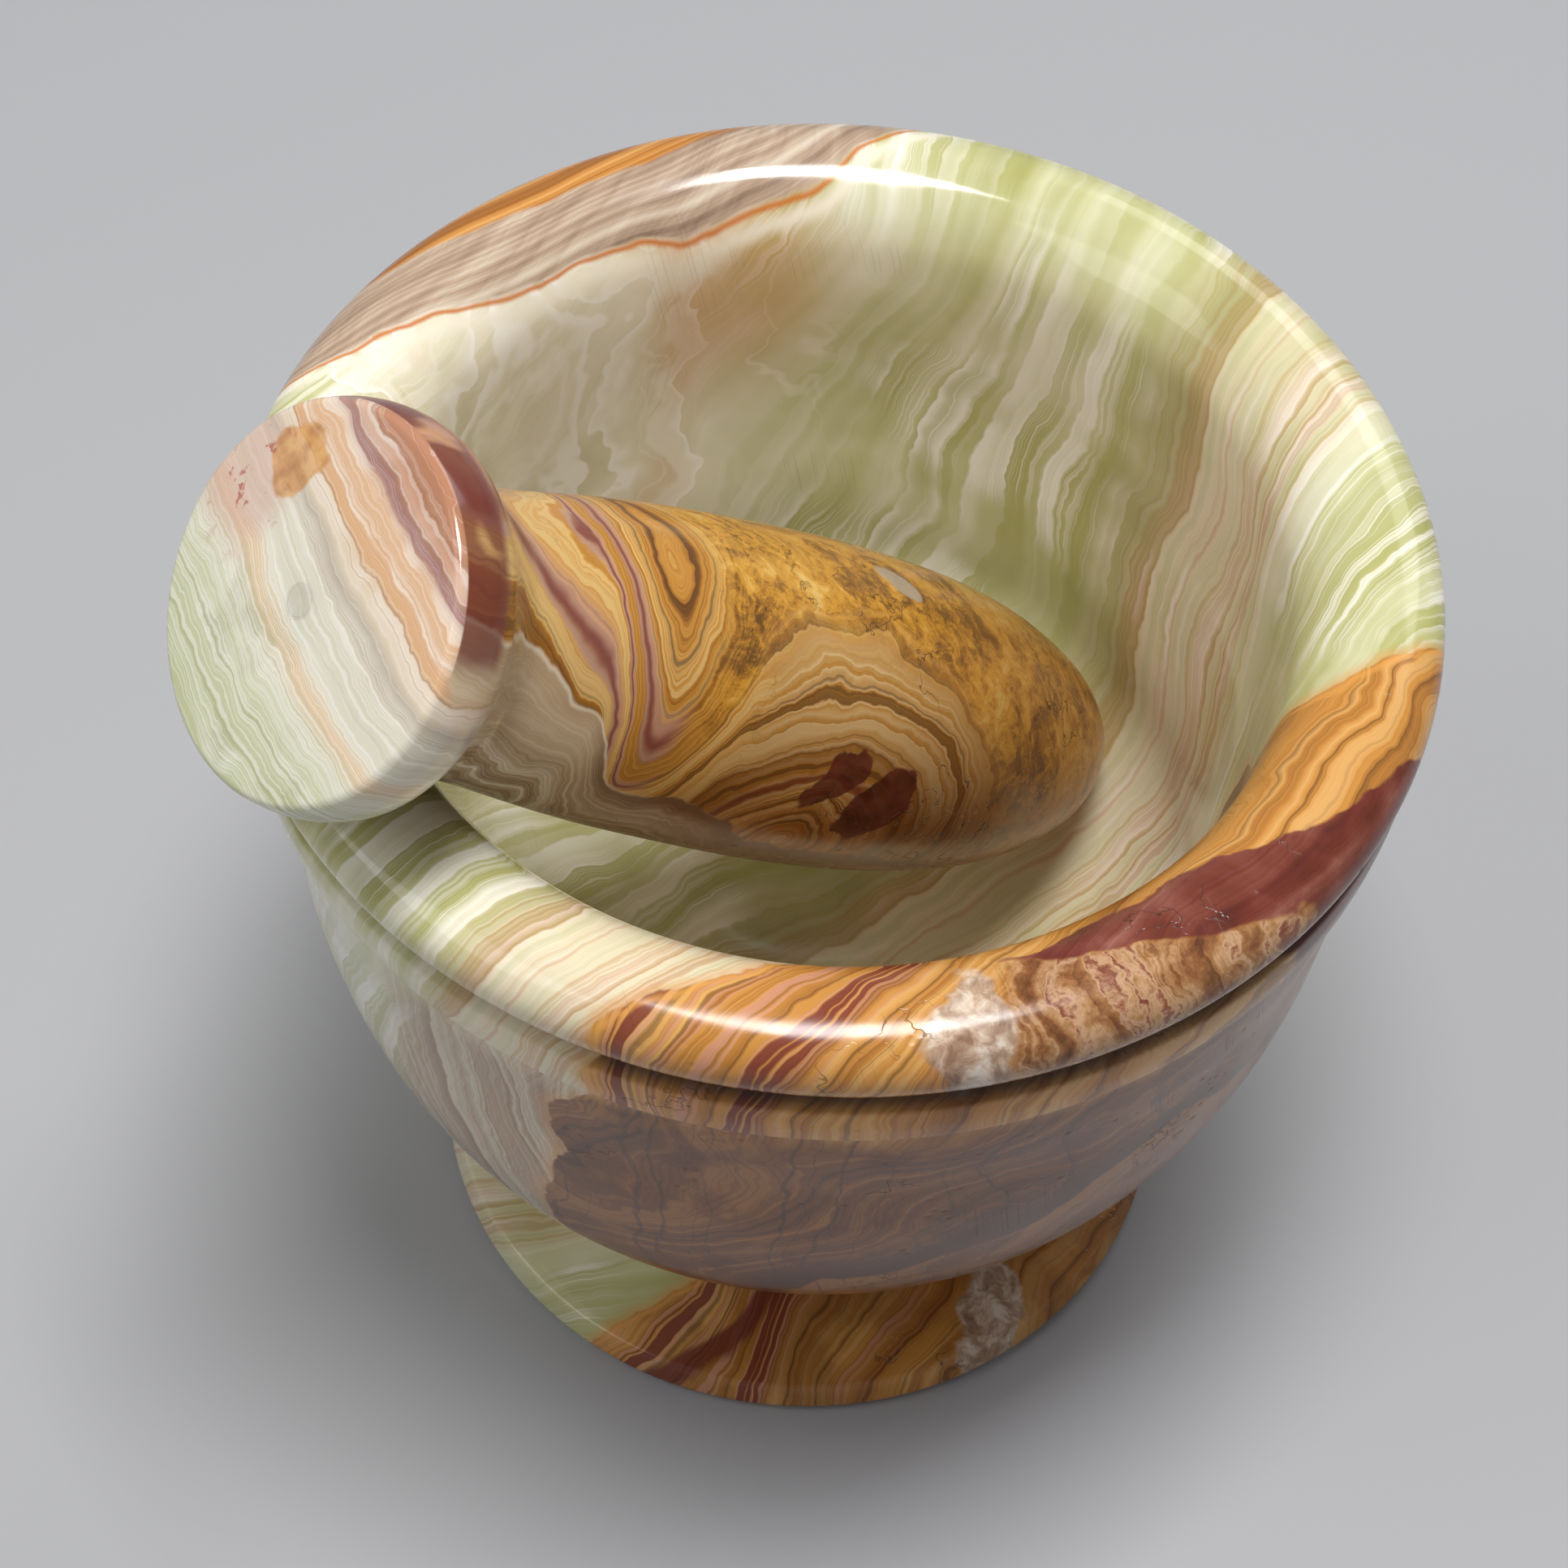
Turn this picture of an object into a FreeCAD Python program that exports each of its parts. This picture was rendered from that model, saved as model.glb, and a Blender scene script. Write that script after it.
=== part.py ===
import FreeCAD, Part
import math
import os

# Mortar and pestle, each turned from one block of banded stone.  Millimetres, +Z up.
# The origin is the centre of the foot's flat underside.  +X runs to the right and the
# pestle leans over the front left of the rim.

# Mortar
MORTAR_H = 90.5          # foot to the crest of the rim
CREST_R = 46.3           # radius at which the rim is highest
LIP_R = 3.5              # rounding of the outer lip
CREST_ROUND = 5.9        # gentler rounding over the crest
INNER_ROUND = 8.0        # rounding from the crest into the bowl
GROOVE_R = 49.0          # bottom of the groove under the lip
BAND_R = 50.4            # raised band below the groove
BAND_TOP = 82.0
BAND_BOTTOM = 77.6
BODY_TOP_R = 49.2        # the body steps in below the band
NECK_R = 21.0
NECK_Z = 9.6
FOOT_R = 36.5
FOOT_EDGE_H = 3.1
FLOOR_Z = 28.0           # lowest point of the bowl
BOWL_R = 34.2            # bowl radius where the wall meets the rounded floor
BOWL_Z = 52.0

# Pestle, measured along its own axis from the knob's end face
PESTLE_L = 104.0
KNOB_R = 15.6
KNOB_EDGE = 0.9          # rounding of the knob's rim
KNOB_DOME = 0.8          # height of the slightly domed end face
WAIST_R = 11.6
HEAD_R = 14.4

# Where the pestle rests: leaning on the inner rim with its head low on the bowl wall
PESTLE_LEAN = 42.8       # degrees above level
PESTLE_AZIMUTH = 214.2   # direction the knob points to, degrees from +X
KNOB_REACH = 47.09       # knob face centre, distance from the mortar's axis
KNOB_Z = 110.51


def point(r, z):
    return FreeCAD.Vector(r, 0, z)


def line(a, b):
    return Part.LineSegment(point(*a), point(*b)).toShape()


def spline(points, start=None, end=None):
    curve = Part.BSplineCurve()
    tangents = {}
    if start:
        tangents["InitialTangent"] = point(*start)
    if end:
        tangents["FinalTangent"] = point(*end)
    curve.interpolate(Points=[point(*p) for p in points], **tangents)
    return curve.toShape()


def rolled(start, normal, steps):
    """A run of tangent arcs from start.  Each step is (radius, degrees turned); normal is
    the outward direction at the start in degrees.  Returns edges, end point, end normal."""
    edges = []
    (r, z), angle = start, normal
    for radius, turn in steps:
        cr = r - radius * math.cos(math.radians(angle))
        cz = z - radius * math.sin(math.radians(angle))
        stops = [angle + turn * f for f in (0, 0.5, 1)]
        on = [(cr + radius * math.cos(math.radians(a)), cz + radius * math.sin(math.radians(a)))
              for a in stops]
        edges.append(Part.Arc(*[point(*p) for p in on]).toShape())
        (r, z), angle = on[2], stops[2]
    return edges, (r, z), angle


def cornered(points):
    """Straight runs through (r, z, corner radius) points, each corner rounded."""
    edges = []
    here = points[0][:2]
    for before, corner, after in zip(points, points[1:], points[2:]):
        apex = FreeCAD.Vector(corner[0], 0, corner[1])
        back = (point(*before[:2]) - apex).normalize()
        ahead = (point(*after[:2]) - apex).normalize()
        half = back.getAngle(ahead) / 2
        reach = corner[2] / math.tan(half)
        first = apex + back * reach
        last = apex + ahead * reach
        bisector = (back + ahead).normalize()
        middle = apex + bisector * (corner[2] / math.sin(half) - corner[2])
        edges.append(Part.LineSegment(point(*here), first).toShape())
        edges.append(Part.Arc(first, middle, last).toShape())
        here = (last.x, last.z)
    edges.append(line(here, points[-1][:2]))
    return edges


def turned(edges):
    wire = Part.Wire(Part.__sortEdges__(edges))
    return Part.Face(wire).revolve(FreeCAD.Vector(0, 0, 0), FreeCAD.Vector(0, 0, 1), 360)


def mortar():
    # Rim: from the crest outwards under the lip, and from the crest into the bowl.
    outer, groove, _ = rolled((CREST_R, MORTAR_H), 90, [(CREST_ROUND, -30), (LIP_R, -115)])
    inner, wall_top, facing = rolled((CREST_R, MORTAR_H), 90,
                                     [(CREST_ROUND, 10), (INNER_ROUND, 50), (9.0, 18)])
    down = (math.cos(math.radians(facing + 90)), math.sin(math.radians(facing + 90)))

    # Groove and band
    band = cornered([groove + (0,),
                     (GROOVE_R, groove[1] - 0.5, 0.25),
                     (BAND_R - 0.1, BAND_TOP, 0.9),
                     (BAND_R, (BAND_TOP + BAND_BOTTOM) / 2, 6.0),
                     (BAND_R - 0.25, BAND_BOTTOM, 0.5),
                     (BODY_TOP_R, BAND_BOTTOM - 1.0, 0)])

    body = spline([(BODY_TOP_R, BAND_BOTTOM - 1.0), (48.5, 69.2), (47.95, 64.2), (47.6, 59.2),
                   (47.1, 54.2), (46.3, 49.2), (45.1, 44.2), (43.5, 39.2), (41.2, 34.2),
                   (38.1, 29.2), (34.1, 24.2), (29.2, 19.2), (25.2, 15.4), (22.3, 12.3),
                   (NECK_R, NECK_Z), (22.2, 7.2), (26.0, 5.4), (31.0, 4.3), (34.0, 3.7)])

    foot = cornered([(34.0, 3.7, 0),
                     (FOOT_R - 0.9, FOOT_EDGE_H + 0.25, 0.7),
                     (FOOT_R, 1.0, 0.9),
                     (FOOT_R - 0.7, 0, 0.5),
                     (0, 0, 0)])

    sweep = [math.radians(a) for a in (12, 24, 36, 48, 60, 72, 81)]
    depth = BOWL_Z - FLOOR_Z
    floor = [(BOWL_R * math.cos(a), BOWL_Z - depth * math.sin(a)) for a in sweep]
    middle = [((wall_top[0] + BOWL_R) / 2 + 0.3, (wall_top[1] + BOWL_Z) / 2)]
    bowl = spline([wall_top] + middle + [(BOWL_R, BOWL_Z)] + floor + [(0, FLOOR_Z)],
                  start=down, end=(-1, 0))

    return turned(outer + inner + band + [body] + foot + [bowl, line((0, FLOOR_Z), (0, 0))])


def pestle():
    """Built along +Z with the knob's face at the top and the head below, then laid over."""
    side = KNOB_R - 0.55
    face = spline([(0, KNOB_DOME), (side / 2, KNOB_DOME * 0.78), (side, 0)], start=(1, 0))
    edge, shoulder, _ = rolled((side, 0), 68, [(KNOB_EDGE, -50), (9.0, -28), (3.2, -48)])
    shaft = spline([shoulder, (13.1, -9.3), (WAIST_R + 0.35, -12.0), (WAIST_R, -15.5),
                    (12.1, -22.0), (13.2, -32.0), (13.95, -44.0), (HEAD_R, -57.0),
                    (14.3, -66.2), (13.65, -76.4), (12.4, -84.6), (11.1, -89.7),
                    (9.3, -94.8), (7.0, -98.9), (4.1, -102.3), (0, -PESTLE_L)],
                   end=(-1, 0))
    solid = turned([face] + edge + [shaft, line((0, -PESTLE_L), (0, KNOB_DOME))])
    solid.rotate(FreeCAD.Vector(0, 0, 0), FreeCAD.Vector(0, 1, 0), 90 - PESTLE_LEAN)
    solid.translate(point(KNOB_REACH, KNOB_Z))
    solid.rotate(FreeCAD.Vector(0, 0, 0), FreeCAD.Vector(0, 0, 1), PESTLE_AZIMUTH)
    return solid


os.makedirs("parts", exist_ok=True)
for name, shape in (("mortar", mortar()), ("pestle", pestle())):
    shape.exportStep("parts/%s.step" % name)
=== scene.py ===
import math

import bpy
import numpy as np
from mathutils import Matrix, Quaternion, Vector, noise


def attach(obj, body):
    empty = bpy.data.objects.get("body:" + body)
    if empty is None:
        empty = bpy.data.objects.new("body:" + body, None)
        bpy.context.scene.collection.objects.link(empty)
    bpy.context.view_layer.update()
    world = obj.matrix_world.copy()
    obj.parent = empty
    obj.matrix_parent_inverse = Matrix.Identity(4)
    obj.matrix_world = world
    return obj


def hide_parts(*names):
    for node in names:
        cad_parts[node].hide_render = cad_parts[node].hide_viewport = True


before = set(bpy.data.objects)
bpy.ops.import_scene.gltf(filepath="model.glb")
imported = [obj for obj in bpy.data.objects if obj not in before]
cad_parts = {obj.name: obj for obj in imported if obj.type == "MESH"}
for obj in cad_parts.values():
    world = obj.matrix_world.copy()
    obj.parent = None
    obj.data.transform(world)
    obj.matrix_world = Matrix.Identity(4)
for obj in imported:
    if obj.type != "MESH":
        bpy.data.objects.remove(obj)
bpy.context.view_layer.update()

# ---------------------------------------------------------------- where things are (metres)
PESTLE_LEAN = math.radians(42.8)        # above level
PESTLE_TURN = math.radians(214.2)       # where the knob points, from +X
KNOB_REACH = 0.04709
KNOB_HEIGHT = 0.11051
KNOB_FACE = Vector((math.cos(PESTLE_TURN) * KNOB_REACH, math.sin(PESTLE_TURN) * KNOB_REACH,
                    KNOB_HEIGHT))
PESTLE_AXIS = Vector((-math.cos(PESTLE_LEAN) * math.cos(PESTLE_TURN),
                      -math.cos(PESTLE_LEAN) * math.sin(PESTLE_TURN),
                      -math.sin(PESTLE_LEAN)))          # from the knob towards the head
PESTLE_SIDE = Vector((0, 0, 1)).cross(PESTLE_AXIS).normalized()     # level, across the pestle
PESTLE_UP = PESTLE_AXIS.cross(PESTLE_SIDE)

CAMERA_AT = Vector((0, -0.1848, 0.3141))
CAMERA_AIM = Vector((-0.0032, -0.0110, 0.070))
CAMERA_ROLL = math.radians(3.2)
CAMERA_LENS = 80                        # mm
LIT_MIDDLE = Vector((0, 0, 0.05))       # where the lights point
FLOOR_HALF = 3.0
FLOOR_GAP = 0.0002                      # the floor lies this far under the foot

# ---------------------------------------------------------------- the stone (millimetres)
CREST_R = 46              # radius of the rim's crest
GROOVE_Z = 83.0           # middle of the groove between the lip and the band
KNOB_WIDTH = 31.8         # the run of the layers across the knob

BLOCK_AXIS = (0.54, -0.83, -0.15)       # through the mortar's zones: taupe, green, brown, maroon
LAYER_AXIS = (0.87, -0.42, -0.25)       # through the thin layers, which lie a little across them
TAUPE_AT = -52.0          # along BLOCK_AXIS: the taupe band lies beyond this
BROWN_AT = 18.4           # where green onyx gives way to brown stone
MAROON_AT = 27.0          # where the maroon slab begins

ARCH_DOWN = 51            # middle of the arch of strata in the pestle, from the knob's face
ARCH_UP = -5.5
ARCH_R = 11.5


# ---------------------------------------------------------------- turned pieces
def cad_points(node):
    """The node's vertices and their normals, in metres."""
    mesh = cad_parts[node].data
    co = np.empty(len(mesh.vertices) * 3)
    no = np.empty(len(mesh.vertices) * 3)
    mesh.vertices.foreach_get("co", co)
    mesh.vertices.foreach_get("normal", no)
    return co.reshape(-1, 3), no.reshape(-1, 3)


def run_of(radius, height):
    """One (radius, height) outline, lowest first, from scattered points on a turned surface."""
    key = np.unique(np.round(np.stack([height, radius], 1), 6), axis=0)
    return key[:, ::-1]


def spread(path, count, bend=0.006):
    """count points along a path, closer together where it bends; bend (m) is the length that
    one radian of turning counts as."""
    apart = np.linalg.norm(np.diff(path, axis=0), axis=1) > 2e-6
    path = path[np.concatenate([[True], apart])]
    step = np.diff(path, axis=0)
    length = np.linalg.norm(step, axis=1)
    heading = np.unwrap(np.arctan2(step[:, 1], step[:, 0]))
    turn = np.abs(np.diff(heading, append=heading[-1]))
    along = np.concatenate([[0], np.cumsum(length + bend * np.minimum(turn, 0.5))])
    even = np.linspace(0, along[-1], count)
    return np.stack([np.interp(even, along, path[:, k]) for k in (0, 1)], 1)


def turned(name, path, around, origin, side, up, axis, wobble):
    """A closed turned piece.  path runs (radius, distance along axis) from axis to axis; around
    is the number of points in a ring; wobble gives the small unevenness left by polishing by
    hand, in metres, at a point of the surface."""
    angle = np.linspace(0, 2 * math.pi, around, endpoint=False)
    ring = np.cos(angle)[:, None] * np.array(side) + np.sin(angle)[:, None] * np.array(up)
    inner = path[1:-1]
    tangent = np.gradient(path, axis=0)[1:-1]
    tangent /= np.linalg.norm(tangent, axis=1)[:, None]
    verts = []
    for (r, h), (tr, th) in zip(inner, tangent):
        at = np.array(origin) + r * ring + h * np.array(axis)
        out = th * ring - tr * np.array(axis)
        push = np.array([wobble(Vector(a)) for a in at])
        verts.append(at + out * push[:, None])
    rows = len(inner)
    for height, outward in ((path[0, 1], -1), (path[-1, 1], 1)):
        pole = Vector(origin) + Vector(axis) * height
        verts.append([pole + Vector(axis) * outward * wobble(pole)])
    verts = np.concatenate(verts)
    k = np.arange(around)
    nxt = (k + 1) % around
    faces = []
    for row in range(rows - 1):
        a, b = row * around, (row + 1) * around
        faces += np.stack([a + k, a + nxt, b + nxt, b + k], 1).tolist()
    first, last = rows * around, rows * around + 1
    faces += [(int(nxt[i]), int(k[i]), first) for i in range(around)]
    end = (rows - 1) * around
    faces += [(end + int(k[i]), end + int(nxt[i]), last) for i in range(around)]
    mesh = bpy.data.meshes.new(name)
    mesh.from_pydata(verts.tolist(), [], faces)
    mesh.validate()
    mesh.update()
    mesh.shade_smooth()
    piece = bpy.data.objects.new(name, mesh)
    bpy.context.scene.collection.objects.link(piece)
    return piece


def hand_finish(size):
    """A surface a little out of true: long shallow swells, as polishing by hand leaves."""
    def wobble(at):
        low = noise.noise(at * 45 + Vector((3.1, 7.7, 1.9)))
        high = noise.noise(at * 130 + Vector((9.2, 0.4, 5.5)))
        return size * (0.8 * low + 0.3 * high)
    return wobble


def make_mortar():
    co, no = cad_points("mortar")
    radius = np.hypot(co[:, 0], co[:, 1])
    facing = (no[:, 0] * co[:, 0] + no[:, 1] * co[:, 1]) / np.maximum(radius, 1e-9)
    height = co[:, 2]
    crest = radius[height > height.max() - 2e-7].mean()
    above = height > 1e-6
    central = radius < 1e-5
    into = above & (facing < 0) & (radius < crest) & ~central
    out = above & (facing > 0) & ~into
    outside = run_of(radius[out], height[out])
    inside = run_of(radius[into], height[into])
    foot = radius[~above].max()
    floor_z = height[central].max()
    path = np.concatenate([[(0, 0), (foot / 2, 0), (foot, 0)], outside, inside[::-1],
                           [(0, floor_z)]])
    return turned("mortar_stone", spread(path, 300), 312, (0, 0, 0),
                  (1, 0, 0), (0, 1, 0), (0, 0, 1), hand_finish(0.00005))


def make_pestle():
    co, _ = cad_points("pestle")
    rel = co - np.array(KNOB_FACE)
    along = rel @ np.array(PESTLE_AXIS)
    radius = np.linalg.norm(rel - along[:, None] * np.array(PESTLE_AXIS), axis=1)
    path = run_of(radius, along)
    path[0, 0] = path[-1, 0] = 0
    return turned("pestle_stone", spread(path, 240), 256, KNOB_FACE,
                  PESTLE_SIDE, PESTLE_UP, PESTLE_AXIS, hand_finish(0.00004))


mortar = make_mortar()
pestle = make_pestle()


# ---------------------------------------------------------------- shader arithmetic
def colour(code):
    """#rrggbb as a linear colour with alpha."""
    parts = [int(code[i:i + 2], 16) / 255 for i in (1, 3, 5)]
    return tuple(c / 12.92 if c <= 0.04045 else ((c + 0.055) / 1.055) ** 2.4 for c in parts) + (1,)


class Field:
    """A number at every point of the stone, made by shader nodes."""

    def __init__(self, stone, socket):
        self.stone = stone
        self.socket = socket

    def math(self, operation, *others):
        node = self.stone.node("ShaderNodeMath", operation=operation)
        for i, value in enumerate((self,) + others):
            self.stone.feed(node.inputs[i], value)
        return Field(self.stone, node.outputs[0])

    def __add__(self, other):
        return self.math("ADD", other)

    def __sub__(self, other):
        return self.math("SUBTRACT", other)

    def __mul__(self, other):
        return self.math("MULTIPLY", other)

    def size(self):
        return self.math("ABSOLUTE")

    def ramp(self, low, high, a=0.0, b=1.0):
        """a at low, b at high, smooth between and level outside."""
        node = self.stone.node("ShaderNodeMapRange", interpolation_type="SMOOTHSTEP")
        for i, value in enumerate((self, low, high, a, b)):
            self.stone.feed(node.inputs[i], value)
        return Field(self.stone, node.outputs[0])

    def line(self, at, width):
        """1 on a thin line where the field equals at, 0 past width on either side."""
        return (self - at).size().ramp(0, width, 1, 0)


class Stone:
    """A stone material: fields over the block, a colour painted up in coats, and a surface."""

    def __init__(self, name):
        self.material = bpy.data.materials.new(name)
        self.material.use_nodes = True
        self.tree = self.material.node_tree
        self.tree.nodes.clear()
        place = self.node("ShaderNodeTexCoord").outputs["Object"]
        self.point = self.vector("SCALE", place, scale=1000)      # millimetres

    def node(self, kind, **settings):
        node = self.tree.nodes.new(kind)
        for key, value in settings.items():
            setattr(node, key, value)
        return node

    def feed(self, socket, value):
        if isinstance(value, Field):
            self.tree.links.new(value.socket, socket)
        elif isinstance(value, bpy.types.NodeSocket):
            self.tree.links.new(value, socket)
        else:
            socket.default_value = value

    def vector(self, operation, a, b=None, scale=None):
        node = self.node("ShaderNodeVectorMath", operation=operation)
        self.feed(node.inputs[0], a)
        if b is not None:
            self.feed(node.inputs[1], b)
        if scale is not None:
            self.feed(node.inputs["Scale"], scale)
        return node.outputs["Value"] if operation in ("DOT_PRODUCT", "DISTANCE", "LENGTH") \
            else node.outputs["Vector"]

    def along(self, point, direction):
        """How far the point lies along a direction."""
        return Field(self, self.vector("DOT_PRODUCT", point, direction))

    def noise(self, point, grain, detail=2.0, rough=0.5):
        """Smooth noise about 0, from about -0.5 to 0.5, with blobs grain mm across."""
        node = self.node("ShaderNodeTexNoise", noise_dimensions="3D")
        self.feed(node.inputs["Vector"], point)
        node.inputs["Scale"].default_value = 1 / grain
        node.inputs["Detail"].default_value = detail
        node.inputs["Roughness"].default_value = rough
        return Field(self, node.outputs["Fac"]) - 0.5

    def layers(self, depth, grain, detail=3.0, rough=0.6):
        """Noise that changes only with depth: one value per layer of the stone."""
        node = self.node("ShaderNodeTexNoise", noise_dimensions="1D")
        self.feed(node.inputs["W"], depth)
        node.inputs["Scale"].default_value = 1 / grain
        node.inputs["Detail"].default_value = detail
        node.inputs["Roughness"].default_value = rough
        return Field(self, node.outputs["Fac"]) - 0.5

    def sheets(self, depth, grain, count):
        """Thin sheets, each with one sharp edge and one soft one, crowded where the layers change
        quickly; count is how many one whole swing of the layers holds."""
        saw = (self.layers(depth, grain, 2.0, 0.5) * count).math("FRACT")
        fade = saw.ramp(0.95, 0.07)
        return saw.ramp(0.0, 0.07) * fade * fade

    def warped(self, point, grain, amount, detail=2.0):
        """The point moved about by noise, by up to about half of amount (mm)."""
        node = self.node("ShaderNodeTexNoise", noise_dimensions="3D")
        self.feed(node.inputs["Vector"], point)
        node.inputs["Scale"].default_value = 1 / grain
        node.inputs["Detail"].default_value = detail
        middle = self.vector("SUBTRACT", node.outputs["Color"], (0.5, 0.5, 0.5))
        return self.vector("ADD", point, self.vector("SCALE", middle, scale=amount))

    def spots(self, point, grain):
        """0 at the middle of each of the spots strewn about grain mm apart, growing away from it."""
        node = self.node("ShaderNodeTexVoronoi", feature="F1")
        self.feed(node.inputs["Vector"], point)
        node.inputs["Scale"].default_value = 1 / grain
        return Field(self, node.outputs["Distance"])

    def blob(self, point, centre, radii):
        """0 at the centre of an ellipsoid and 1 on its surface."""
        moved = self.vector("SUBTRACT", point, centre)
        scaled = self.vector("MULTIPLY", moved, tuple(1 / r for r in radii))
        return Field(self, self.vector("LENGTH", scaled))

    def paint(self, under, over, mask):
        """over laid on under where mask is 1.  Either may be a colour code or a colour."""
        node = self.node("ShaderNodeMix", data_type="RGBA")
        self.feed(node.inputs[0], mask)
        for socket, value in ((node.inputs[6], under), (node.inputs[7], over)):
            self.feed(socket, colour(value) if isinstance(value, str) else value)
        return node.outputs[2]

    def scale_of(self, value, *stops):
        """A colour read off value: stops are (position, colour code)."""
        node = self.node("ShaderNodeValToRGB")
        ramp = node.color_ramp
        while len(ramp.elements) < len(stops):
            ramp.elements.new(0.5)
        for element, (position, code) in zip(ramp.elements, stops):
            element.position = position
            element.color = colour(code)
        self.feed(node.inputs[0], value)
        return node.outputs[0]

    def finish(self, tint, rough, relief, relief_mm, glow):
        """Polished stone: colour, roughness, a relief field that is relief_mm high where it is 1,
        and how much of the light goes into the stone (glow)."""
        bump = self.node("ShaderNodeBump")
        bump.inputs["Strength"].default_value = 1.0
        bump.inputs["Distance"].default_value = relief_mm / 1000
        self.feed(bump.inputs["Height"], relief)
        shade = self.node("ShaderNodeBsdfPrincipled")
        self.feed(shade.inputs["Base Color"], tint)
        self.feed(shade.inputs["Roughness"], rough)
        self.feed(shade.inputs["Normal"], bump.outputs[0])
        shade.inputs["IOR"].default_value = 1.52
        shade.inputs["Specular IOR Level"].default_value = 0.4
        self.feed(shade.inputs["Subsurface Weight"], glow)
        shade.inputs["Subsurface Scale"].default_value = 0.004
        shade.inputs["Subsurface Radius"].default_value = (1.0, 0.8, 0.45)
        out = self.node("ShaderNodeOutputMaterial")
        self.tree.links.new(shade.outputs[0], out.inputs[0])
        return self.material


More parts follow.
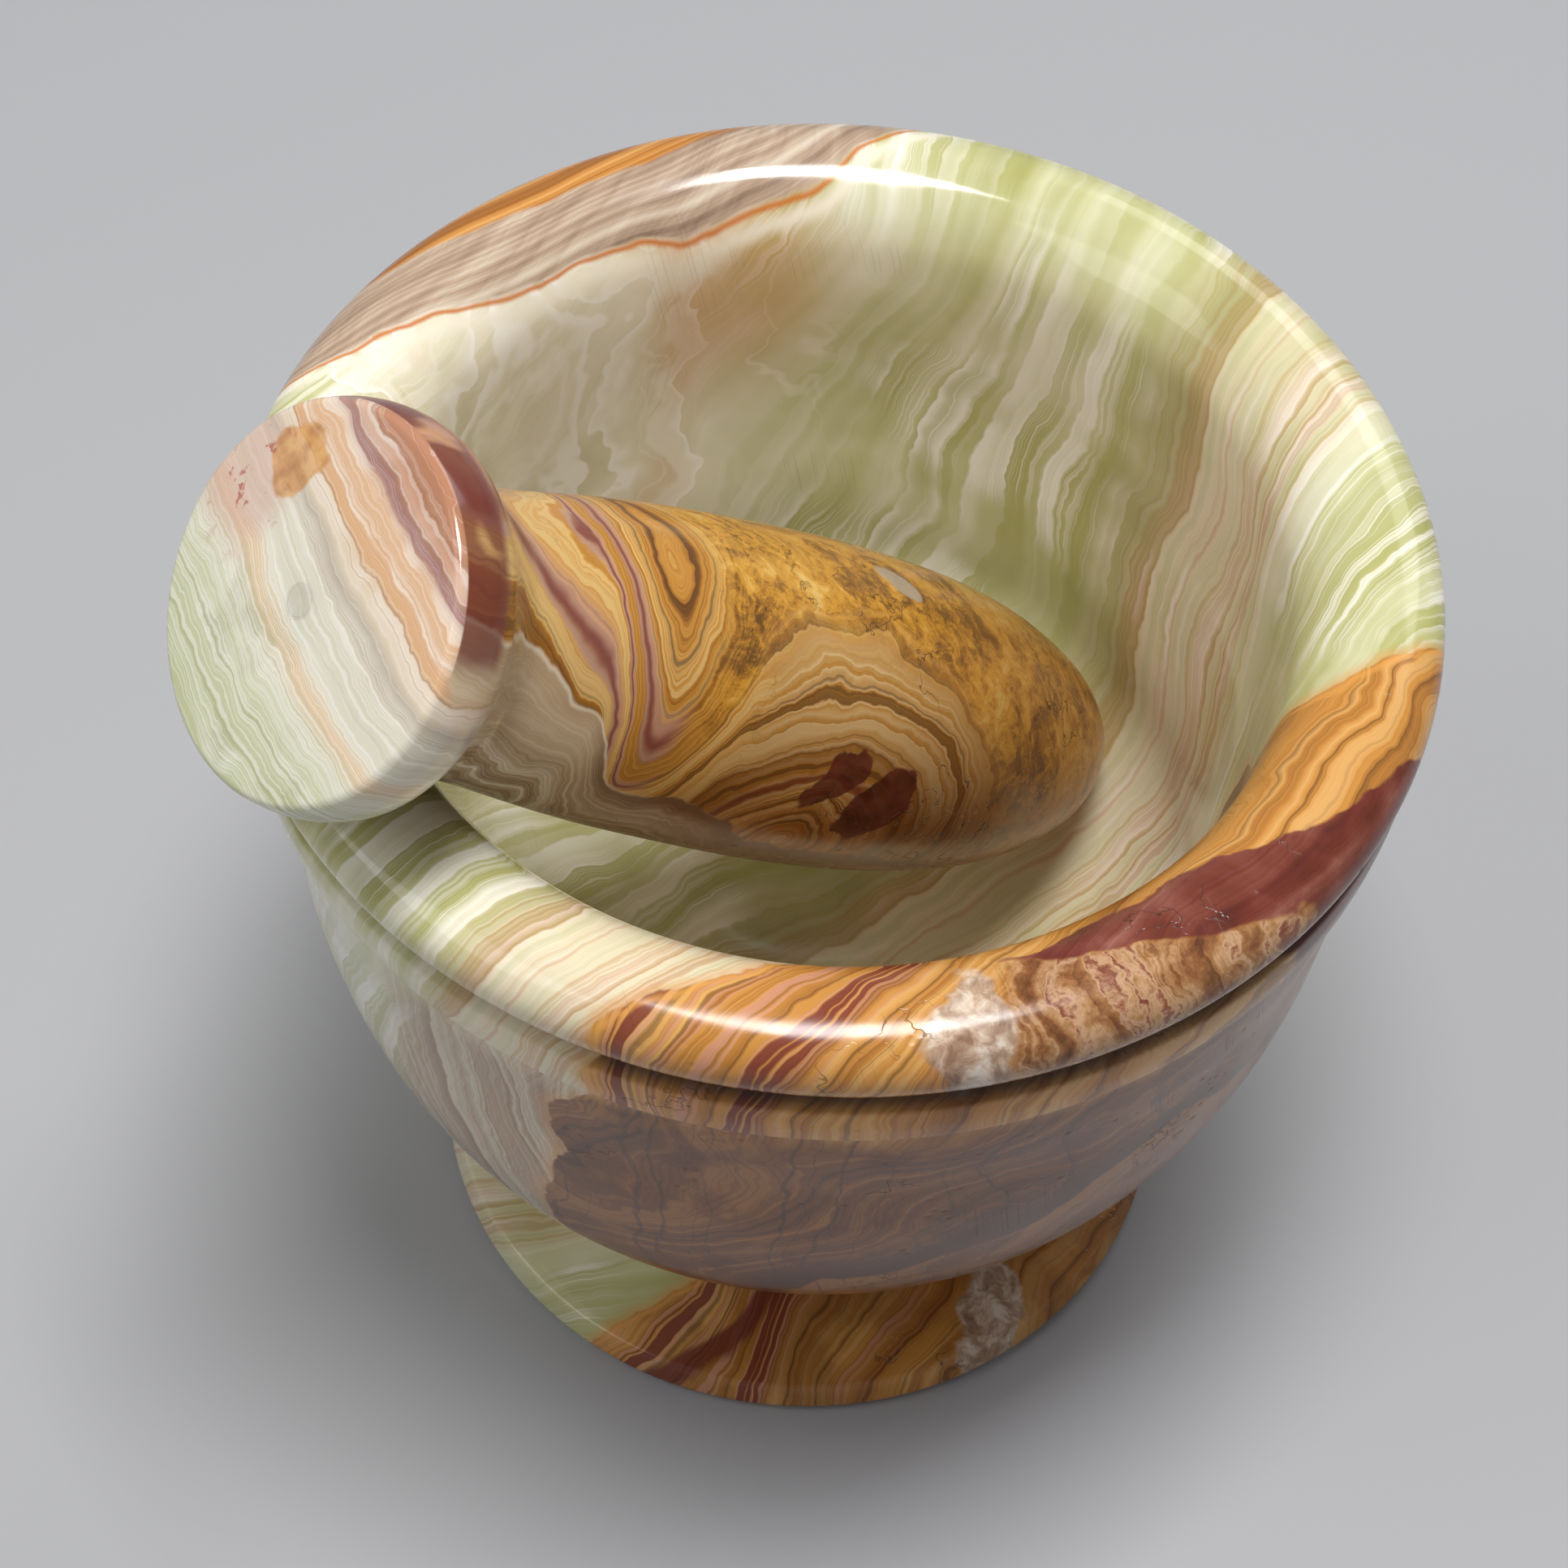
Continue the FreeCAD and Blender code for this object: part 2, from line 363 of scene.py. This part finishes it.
# ---------------------------------------------------------------- the mortar's stone
def mortar_stone():
    s = Stone("banded_onyx_mortar")
    swell = s.warped(s.point, 34, 13, 1.5)
    kink = s.warped(swell, 9, 3.4, 3.0)
    tremor = s.warped(kink, 2.6, 0.6, 2.0)
    x = s.along(s.point, (1, 0, 0))
    y = s.along(s.point, (0, 1, 0))
    z = s.along(s.point, (0, 0, 1))

    # Depth through the whole block, and depth in the thin layers, which bend a little
    block = s.along(swell, BLOCK_AXIS)
    bend = x * (z - 75) * 0.008 + (y - 40) * (y - 40) * 0.004
    depth = s.along(kink, LAYER_AXIS) + bend
    fine = s.along(tremor, LAYER_AXIS) + bend

    # Green onyx: cloudy green and cream layers, thin white sheets with one sharp edge, fine white hairs
    cloud = s.noise(swell, 20, 3)
    tone = s.layers(depth, 11, 3, 0.6) * 1.2 + cloud * 0.7 + 0.5
    green = s.scale_of(tone, (0.2, "#96954f"), (0.4, "#b6b474"), (0.56, "#cdcb9c"), (0.74, "#e6e1c6"))
    calm = s.noise(swell, 17, 2).ramp(-0.12, 0.08)
    sheet = s.sheets(fine, 10, 7)
    green = s.paint(green, "#f5f2e4", sheet * (calm * 0.72 + 0.15))
    seam = s.layers(fine, 3.6, 5, 0.7)
    green = s.paint(green, "#e6e0c8", seam.ramp(0.08, 0.2) * calm * 0.5)
    hair = s.layers(fine + 40, 1.2, 3, 0.6)
    green = s.paint(green, "#f8f4e6", hair.line(0.0, 0.04) * calm * 0.5)

    # Rose and white layers on the right of the bowl
    rose = depth.ramp(-9, 1) * depth.ramp(19, 12) * cloud.ramp(-0.3, 0.05, 0.4, 1.0)
    warm = s.scale_of(seam * 1.3 + hair * 0.5 + 0.5, (0.2, "#ad7f5e"), (0.4, "#d3ab87"),
                      (0.55, "#ecdcc2"), (0.75, "#cdc6a0"))
    green = s.paint(green, warm, rose * 0.75)

    # Milky patch with faint growth rings, and a peach glow beside it
    milk = s.blob(kink, (-30, 27, 74), (24, 24, 30))
    green = s.paint(green, "#f0e8d0", milk.ramp(1.2, 0.6) * 0.8)
    haze = s.noise(swell, 14, 3).ramp(0.0, 0.2)
    green = s.paint(green, "#c9c196", haze * milk.ramp(1.2, 0.8) * 0.6)
    green = s.paint(green, "#dcb98e", (milk * 20).line(15, 4) * cloud.ramp(-0.15, 0.1) * 0.6)
    rings = s.sheets(milk * 22 + s.noise(kink, 12, 3) * 22, 9, 6)
    green = s.paint(green, "#fffaf0", rings * milk.ramp(1.4, 1.0) * 0.7)
    peach = s.blob(swell, (-10, 40, 80), (9, 12, 17))
    green = s.paint(green, "#dba96f", peach.ramp(1.15, 0.2) * 0.6)

    # Fibrous tan and white stone low on the front left
    fibre = s.layers(s.along(s.warped(kink, 3, 1.2, 2), (0.8, -0.45, 0.1)), 2.0, 5, 0.7)
    tan = s.scale_of(fibre * 1.5 + 0.5, (0.25, "#866a52"), (0.45, "#b09278"), (0.6, "#cdbda4"),
                     (0.78, "#ece6d8"))
    apron = z.ramp(78, 72) * y.ramp(-14, -24) * z.ramp(16, 30) * (block + cloud * 14).ramp(-3, 4)
    green = s.paint(green, tan, apron * 0.85)

    # Beyond the boundary: gold on the rim and foot, umber on the body, in thin folded laminae; the body's
    # darker umber is partly the stone's own colour and partly painted shade
    swirl = s.warped(swell, 14, 6, 3.0)
    inward = s.along(swirl, BLOCK_AXIS) - BROWN_AT
    grain = s.along(s.warped(swirl, 4, 0.7, 2), (0.81, -0.58, -0.12))
    lamina = s.layers(grain, 5.0, 6, 0.72)
    gold = s.scale_of(lamina * 1.35 + 0.5, (0.2, "#6b3f1e"), (0.36, "#9f652c"), (0.5, "#c78a40"),
                      (0.64, "#d9a662"), (0.8, "#99612c"))
    turn = s.along(s.warped(s.warped(s.point, 26, 34, 1), 6, 4, 2), (0.55, -0.5, -0.62))
    loam = s.layers(turn, 7.0, 6, 0.72)
    # Painted shade in part: the umber's dark colours stand partly for the shade on the body under the rim
    umber_with_painted_shade = s.scale_of(loam * 1.6 + 0.5, (0.2, "#3b1d0b"), (0.38, "#643817"), (0.52, "#824d20"),
                       (0.66, "#a36b2f"), (0.82, "#573014"))
    stain = s.noise(swell, 9, 5)
    foot = z.ramp(16, 9)
    umber_with_painted_shade = s.paint(umber_with_painted_shade, "#5f2c1b", stain.ramp(0.04, 0.16) * 0.6)
    umber_with_painted_shade = s.paint(umber_with_painted_shade, "#a0692f", stain.ramp(-0.06, -0.2) * 0.5)
    # Painted shade in part: the body between band and foot keeps the darker umber, while the rim, band and
    # foot get the lighter gold
    gold_outside_painted_shade = (z + stain * 8).ramp(73.5, 77.5) + foot
    gold = s.paint(gold, "#8a5828", foot * stain.ramp(-0.1, 0.1) * 0.6)
    brown = s.paint(umber_with_painted_shade, gold, gold_outside_painted_shade)
    thread = s.layers(grain + 7, 1.1, 3, 0.65)
    brown = s.paint(brown, "#3b2115", thread.ramp(0.08, 0.2) * 0.5)

    # Maroon and pink bands across the front of the rim and next to the boundary at the foot
    plum = s.layers(grain + 90, 5.0, 4, 0.65)
    banded = x.ramp(17, 8) * gold_outside_painted_shade * inward.ramp(18, 10)
    brown = s.paint(brown, "#cf947a", plum.line(0.04, 0.04) * banded * 0.7)
    brown = s.paint(brown, "#7b362d", plum.ramp(0.07, 0.1) * banded * 0.9)
    brown = s.paint(brown, "#6e2c24", inward.ramp(1.2, 1.9) * inward.ramp(4.4, 3.2) * foot * 0.85)

    # The maroon slab on the right of the rim, which runs on along the crest as a strip, and the
    # broken tan stone outside it
    outward = (x * x + y * y - CREST_R ** 2) * 0.031        # about 2.8 for each mm past the crest
    across = s.along(kink, (0.83, 0.54, 0)) - outward + s.noise(swell, 6, 3) * 8
    beyond = block + s.noise(s.point, 6, 3) * 4 - MAROON_AT
    blush = s.layers(grain + 31, 4, 5, 0.7) + s.noise(kink, 4, 4) * 0.8 + 0.5
    wine = s.scale_of(blush, (0.25, "#521f1b"), (0.45, "#6c2d27"), (0.6, "#7c4039"), (0.78, "#966055"))
    slab = beyond.ramp(0, 0.35) * across.ramp(0, 1.6) * z.ramp(74, 80)
    brown = s.paint(brown, wine, slab * beyond.ramp(14, 9, 0.4, 0.95))
    mixed = s.layers(s.along(s.warped(s.point, 5, 7, 4), (0.9, 0.3, 0.2)), 6, 5, 0.7) \
        + s.noise(kink, 2.5, 5, 0.7) * 0.5
    broken = beyond.ramp(0, 1) * x.ramp(13, 17) * across.ramp(1.6, 0) * z.ramp(80, 85)
    rubble = s.scale_of(mixed * 1.8 + 0.5, (0.2, "#4d281d"), (0.36, "#7f4f33"), (0.48, "#a37851"),
                        (0.6, "#c29d7c"), (0.72, "#7b3d35"), (0.85, "#5c3a2c"))
    brown = s.paint(brown, rubble, broken * 0.85)

    # Grey white healed rock, once on the rim and once on the foot
    ragged = s.warped(s.point, 6, 7, 4)
    healed = s.blob(ragged, (12.5, -46.5, 88), (3.6, 6, 6)).ramp(1.0, 0.8) \
        + s.blob(ragged, (20, -26, 4), (3.4, 8, 6)).ramp(1.0, 0.8)
    ash = s.scale_of(s.noise(s.warped(s.point, 3, 3, 1), 2.2, 4, 0.65) * 1.7 + 0.5, (0.2, "#7d6557"),
                     (0.42, "#a8917f"), (0.58, "#cdb9a6"), (0.75, "#e6dccd"))
    brown = s.paint(brown, ash, healed * 0.8)

    # Fine dark fissures
    fissure = s.noise(s.point, 9, 4, 0.6).line(0.0, 0.007)
    crack = fissure * s.noise(s.point, 13, 2).ramp(0.07, 0.17)
    brown = s.paint(brown, "#2c180f", crack * 0.6)

    # The boundary between the green and the brown, stained for a millimetre on the green side
    edge = block - BROWN_AT + s.noise(s.point, 5, 3) * 3.0 + z.ramp(78, 70) * 3.5
    rock = edge.ramp(-0.15, 0.15)
    stone = s.paint(green, "#d69a55", edge.ramp(-1.4, 0) * 0.55)
    stone = s.paint(stone, brown, rock)
    stone = s.paint(stone, "#e0a050", edge.line(0.45, 0.5) * gold_outside_painted_shade * 0.6)

    # Taupe band between two seams, and amber stone beyond it, at the back left of the rim
    far = block - TAUPE_AT + s.noise(s.point, 6, 2) * 1.5
    amber_grain = s.layers(block + fine * 0.15, 2.2, 5, 0.7)
    taupe = s.scale_of(amber_grain + seam * 0.5 + 0.5, (0.25, "#8f7662"), (0.5, "#b89f88"), (0.78, "#dccdb8"))
    amber = s.scale_of(amber_grain * 1.4 + 0.5, (0.22, "#7d4a22"), (0.5, "#c2813a"), (0.78, "#e3b06a"))
    stone = s.paint(stone, taupe, far.ramp(0, -0.6))
    stone = s.paint(stone, "#f3ead6", far.line(1.1, 1.0) * 0.8)
    stone = s.paint(stone, "#c9762c", far.line(0, 0.4) * 0.9)
    stone = s.paint(stone, amber, far.ramp(-6.6, -7.2))

    # Painted shade: a dark line in the groove under the lip, where shade falls, strongest on the brown stone
    outer_side = (x * x + y * y).ramp((CREST_R - 1) ** 2, (CREST_R + 1) ** 2)
    stone = s.paint(stone, "#2a180e", z.line(GROOVE_Z, 1.6) * outer_side * (rock * 0.6 + 0.2))

    # Small pits in the brown stone, and a few scratches
    pits = s.spots(s.point, 1.4).ramp(0.35, 0.05) * s.noise(s.point, 6, 2).ramp(0.05, 0.2)
    scratch = s.layers(s.along(s.point, (3.2, 1.1, 0.6)) + s.noise(s.point, 14, 1) * 4, 0.8, 2, 0.5)
    scored = scratch.line(0.18, 0.02) * s.noise(s.point, 10, 1).ramp(0.12, 0.2)
    rough = s.noise(s.point, 7, 4).ramp(-0.2, 0.25, 0.08, 0.18) + rock * 0.07 \
        + pits * rock * 0.25 + scored * 0.15
    relief = s.noise(s.point, 3, 3) * 0.12 - pits * rock * 0.8 - crack * rock * 0.7 - scored * 0.3
    return s.finish(stone, rough, relief, 0.06, rock.ramp(0, 1, 0.35, 0.04))


# ---------------------------------------------------------------- the pestle's stone
def on_pestle(side, up, down):
    """A place in the pestle, in mm from the middle of the knob's face."""
    return tuple(PESTLE_SIDE * side + PESTLE_UP * up + PESTLE_AXIS * down)


def pestle_stone():
    s = Stone("banded_onyx_pestle")
    local = s.vector("SUBTRACT", s.point, tuple(c * 1000 for c in KNOB_FACE))
    swell = s.warped(local, 24, 5, 1.5)
    kink = s.warped(swell, 7, 2.8, 3.0)
    tremor = s.warped(kink, 2.2, 0.6, 2.0)
    up = s.along(kink, tuple(PESTLE_UP))
    down = s.along(kink, tuple(PESTLE_AXIS))
    true_down = s.along(local, tuple(PESTLE_AXIS))

    # Strata that fall from the knob into a trough, then rise in an arch over the head
    falling = up - down.ramp(4, 20, 12, 5) - down.ramp(21, 29, 0, -14)
    wide = (down - ARCH_DOWN) * 0.74
    tall = up - ARCH_UP
    arching = (wide * wide + tall * tall).math("SQRT") - ARCH_R
    strata = falling + (arching - falling) * down.ramp(28, 38)
    thin = strata + s.noise(tremor, 3, 3) * 1.0
    lamina = s.layers(thin, 3.6, 6, 0.72)
    gold = s.scale_of(lamina * 1.6 + 0.5, (0.2, "#70441c"), (0.36, "#a26b2a"), (0.5, "#c98e3c"),
                      (0.64, "#dfb874"), (0.8, "#93602c"))
    arch = down.ramp(35, 42) * strata.ramp(9, 6)
    gold = s.paint(gold, "#a9742f", arch * strata.ramp(-6, 2) * 0.62)
    gold = s.paint(gold, "#ecd5a4", s.sheets(thin + 20, 4, 8) * arch * 0.4)
    gold = s.paint(gold, "#5d3a1c", s.layers(thin + 60, 1.5, 4, 0.65).ramp(0.05, 0.15) * 0.7)
    torn_edge = s.noise(kink, 9, 2).ramp(-0.02, 0.06)
    gold = s.paint(gold, "#7b3a2c", strata.line(-3.6, 1.0) * down.ramp(34, 38) * torn_edge * 0.85)

    # Mauve and maroon bands in the strata near the knob
    wavy = down.ramp(32, 29)
    for at, width in ((3.0, 1.1), (7.0, 0.5), (11.5, 1.5)):
        gold = s.paint(gold, "#d2a58c", strata.line(at + width * 0.4, width * 1.8) * wavy * 0.8)
        gold = s.paint(gold, "#7f3d35", strata.line(at, width) * wavy * 0.9)
        gold = s.paint(gold, "#b08c84", strata.line(at - width * 0.7, width * 0.4) * wavy * 0.6)

    # Mottled gold with dark specks over the top of the head
    fleck = s.noise(s.warped(kink, 3, 4, 3), 2.4, 6, 0.78) + s.noise(kink, 9, 3) * 0.5
    mottled = s.scale_of(fleck * 1.9 + lamina * 0.8 + 0.48, (0.18, "#5f3d17"), (0.34, "#a06d24"),
                         (0.48, "#c98f30"), (0.64, "#d9a13d"), (0.82, "#e3bd6c"))
    over_arch = strata + s.noise(kink, 5, 3) * 3
    gold = s.paint(gold, mottled, down.ramp(31, 36) * over_arch.ramp(6, 9) * 0.9)
    gold = s.paint(gold, "#7a4f26", down.ramp(50, 74) * 0.45)

    # Two maroon patches at the heart of the arch
    torn = s.warped(local, 6, 5, 4)
    lower = s.blob(torn, on_pestle(-13.5, 1, 58), (4.6, 4.6, 3.6)).ramp(1.0, 0.92)
    upper = s.blob(torn, on_pestle(-13.5, 3, 51), (4.0, 4.0, 2.4)).ramp(1.0, 0.92)
    liver = s.scale_of(s.noise(kink, 3, 4) + 0.5, (0.35, "#451a14"), (0.6, "#6e3428"))
    gold = s.paint(gold, liver, (lower + upper) * 0.9)

    # Below a folded boundary: cream near the knob, then grey and brown fibres along the underside
    hem = down.ramp(2, 20, 9.5, 4.5) + down.ramp(21, 30, 0, -7.5) + down.ramp(34, 50, 0, -3.5)
    over = up - hem + s.noise(kink, 6, 2) * 1.5
    shell = s.layers(over + s.noise(tremor, 3, 2) * 0.7, 2.2, 6, 0.72)
    under = s.scale_of(shell * 1.6 + 0.5, (0.2, "#674b34"), (0.4, "#987a5e"), (0.56, "#c3ad90"),
                       (0.76, "#e8dfce"))
    under = s.paint(under, "#87592f", down.ramp(30, 44) * 0.5)
    cream = over.ramp(-8, -5) * down.ramp(27, 21)
    under = s.paint(under, s.scale_of(shell + 0.5, (0.3, "#b79a74"), (0.6, "#dac6a6")), cream * 0.9)
    stone = s.paint(gold, under, over.ramp(0.2, -0.2))
    stone = s.paint(stone, "#f1e6ce", over.line(0, 0.35) * down.ramp(34, 24) * 0.6)

    # The knob: straight layers across it, green at one side and rose at the other
    straight = s.warped(s.warped(local, 16, 5, 2), 4, 1.0, 3)
    level = s.along(straight, tuple(PESTLE_UP - PESTLE_SIDE * 0.14))
    ribs = s.layers(level + 11, 4.2, 6, 0.7)
    place = level * (1 / KNOB_WIDTH) + ribs * 0.06 + 0.5
    knob = s.scale_of(place, (0.0, "#c3c79a"), (0.28, "#cfd0ae"), (0.36, "#dcd9c0"), (0.42, "#e3c6a0"),
                      (0.47, "#ddd9c4"), (0.58, "#d8cfba"), (0.63, "#b9ab98"), (0.67, "#dccdb4"),
                      (0.74, "#d9ac80"), (0.83, "#dcb591"), (0.865, "#a07471"), (0.895, "#cda389"),
                      (0.96, "#b37f62"))
    leaf = s.sheets(level + s.noise(kink, 4, 3) * 1.5, 7, 7)
    knob = s.paint(knob, "#f6f3e8", leaf * s.noise(swell, 8, 3).ramp(-0.1, 0.12) * 0.4)
    knob = s.paint(knob, "#a7a67c", s.noise(kink, 7, 4).ramp(0.02, 0.2) * place.ramp(0.55, 0.35) * 0.55)
    knob = s.paint(knob, "#b07f5c", ribs.ramp(0.06, 0.2) * place.ramp(0.64, 0.72) * 0.6)
    strand = s.layers(level + s.noise(tremor, 2, 3) * 0.9, 0.9, 3, 0.65)
    knob = s.paint(knob, "#fbf8ef", strand.line(0.0, 0.05) * place.ramp(0.7, 0.55, 0.2, 0.45))
    knob = s.paint(knob, "#8f6247", strand.ramp(0.08, 0.2) * place.ramp(0.6, 0.7) * 0.45)
    knob = s.paint(knob, "#a8a57e", strand.ramp(0.08, 0.2) * place.ramp(0.6, 0.5) * 0.45)
    pink = s.blob(torn, on_pestle(12.3, 2, 0), (7, 7, 6)).ramp(1.1, 0.5)
    knob = s.paint(knob, "#d3ab9b", pink * 0.6)
    amber = s.blob(torn, on_pestle(9.0, 6.6, 0), (3.0, 3.4, 3.6)).ramp(1.0, 0.85)
    honey = s.scale_of(s.noise(local, 2, 4) + 0.5, (0.35, "#b3763a"), (0.6, "#d9a566"))
    knob = s.paint(knob, honey, amber * 0.8)
    rust = s.noise(s.warped(local, 2, 2, 2), 2.2, 4, 0.65).ramp(0.05, 0.12)
    knob = s.paint(knob, "#ad4a35", rust * pink * 0.7)

    # The knob's layers cover its face and run a little way down its side; the strata's maroon
    # reaches its upper edge
    skin = true_down + s.noise(kink, 7, 2) * 1.5 + level.ramp(4, 9) * 2.5
    worn = true_down.ramp(5.5, 4) * level.ramp(8.0, 10.4) * s.noise(kink, 6, 2).ramp(-0.28, -0.12)
    stone = s.paint(stone, "#6f342a", worn * 0.85)
    face = skin.ramp(3.4, 3.0) * level.ramp(8.5, 7.5) + true_down.ramp(0.75, 0.55) * level.ramp(7.5, 8.5)
    stone = s.paint(stone, knob, face)
    stone = s.paint(stone, knob, true_down.ramp(9, 7.5) * level.ramp(8, 6))

    # Fine dark fissures and a grey inclusion on top of the head
    fissure = s.noise(local, 8, 4, 0.6).line(0.0, 0.007)
    crack = fissure * s.noise(local, 11, 2).ramp(0.0, 0.08) * true_down.ramp(34, 48)
    stone = s.paint(stone, "#3d2410", crack * 0.8)
    grey = s.blob(torn, on_pestle(0, 14.4, 60), (3.5, 1.6, 3))
    stone = s.paint(stone, "#a89c8a", grey.ramp(1.0, 0.85) * 0.8)

    # Small pits in the brown stone
    pits = s.spots(local, 1.3).ramp(0.35, 0.05) * s.noise(local, 6, 2).ramp(0.03, 0.18)
    rock = true_down.ramp(20, 40)
    rough = s.noise(local, 7, 4).ramp(-0.2, 0.25, 0.12, 0.26) + rock * 0.06 + pits * rock * 0.25
    relief = s.noise(local, 3, 3) * 0.15 - pits * rock * 0.7 - crack * 0.7
    return s.finish(stone, rough, relief, 0.06, 0.18)


mortar.data.materials.append(mortar_stone())
pestle.data.materials.append(pestle_stone())
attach(mortar, "mortar")
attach(pestle, "pestle")
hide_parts("mortar")
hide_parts("pestle")


# ---------------------------------------------------------------- floor, light, camera
def floor():
    mesh = bpy.data.meshes.new("floor")
    corners = [(i * FLOOR_HALF, j * FLOOR_HALF, 0) for i, j in ((-1, -1), (1, -1), (1, 1), (-1, 1))]
    mesh.from_pydata(corners, [], [(0, 1, 2, 3)])
    ground = bpy.data.objects.new("floor", mesh)
    bpy.context.scene.collection.objects.link(ground)
    ground.location.z = -FLOOR_GAP
    paper = bpy.data.materials.new("floor_paper")
    paper.use_nodes = True
    shade = paper.node_tree.nodes["Principled BSDF"]
    shade.inputs["Base Color"].default_value = (0.43, 0.43, 0.44, 1)
    shade.inputs["Roughness"].default_value = 0.7
    mesh.materials.append(paper)
    return ground


def area_light(name, at, size, power):
    """A soft light (size in metres, power in watts) that points at the middle of the object."""
    lamp = bpy.data.lights.new(name, "AREA")
    lamp.shape = "RECTANGLE"
    lamp.size, lamp.size_y = size
    lamp.energy = power
    light = bpy.data.objects.new(name, lamp)
    light.location = at
    light.rotation_mode = "QUATERNION"
    light.rotation_quaternion = (LIT_MIDDLE - Vector(at)).to_track_quat("-Z", "Y")
    bpy.context.scene.collection.objects.link(light)


def studio():
    """Even light from all round, a little blue."""
    world = bpy.data.worlds.new("studio")
    world.use_nodes = True
    background = world.node_tree.nodes["Background"]
    background.inputs["Color"].default_value = (0.9, 0.93, 1.0, 1)
    background.inputs["Strength"].default_value = 0.24
    bpy.context.scene.world = world


def camera():
    lens = bpy.data.cameras.new("camera")
    lens.lens = CAMERA_LENS
    lens.sensor_width = 36
    lens.clip_start = 0.01
    view = bpy.data.objects.new("camera", lens)
    view.location = CAMERA_AT
    view.rotation_mode = "QUATERNION"
    aim = (CAMERA_AIM - CAMERA_AT).to_track_quat("-Z", "Y")
    view.rotation_quaternion = aim @ Quaternion((0, 0, 1), CAMERA_ROLL)
    bpy.context.scene.collection.objects.link(view)
    bpy.context.scene.camera = view


ground = floor()
area_light("key", (0.03, -0.04, 0.85), (0.30, 0.20), 5.6)
area_light("fill_left", (-0.6, -0.25, 0.75), (0.5, 0.5), 1.6)
area_light("fill_back", (0.35, 0.65, 0.60), (0.5, 0.3), 1.4)
studio()
bpy.context.scene.view_settings.view_transform = "Standard"
camera()
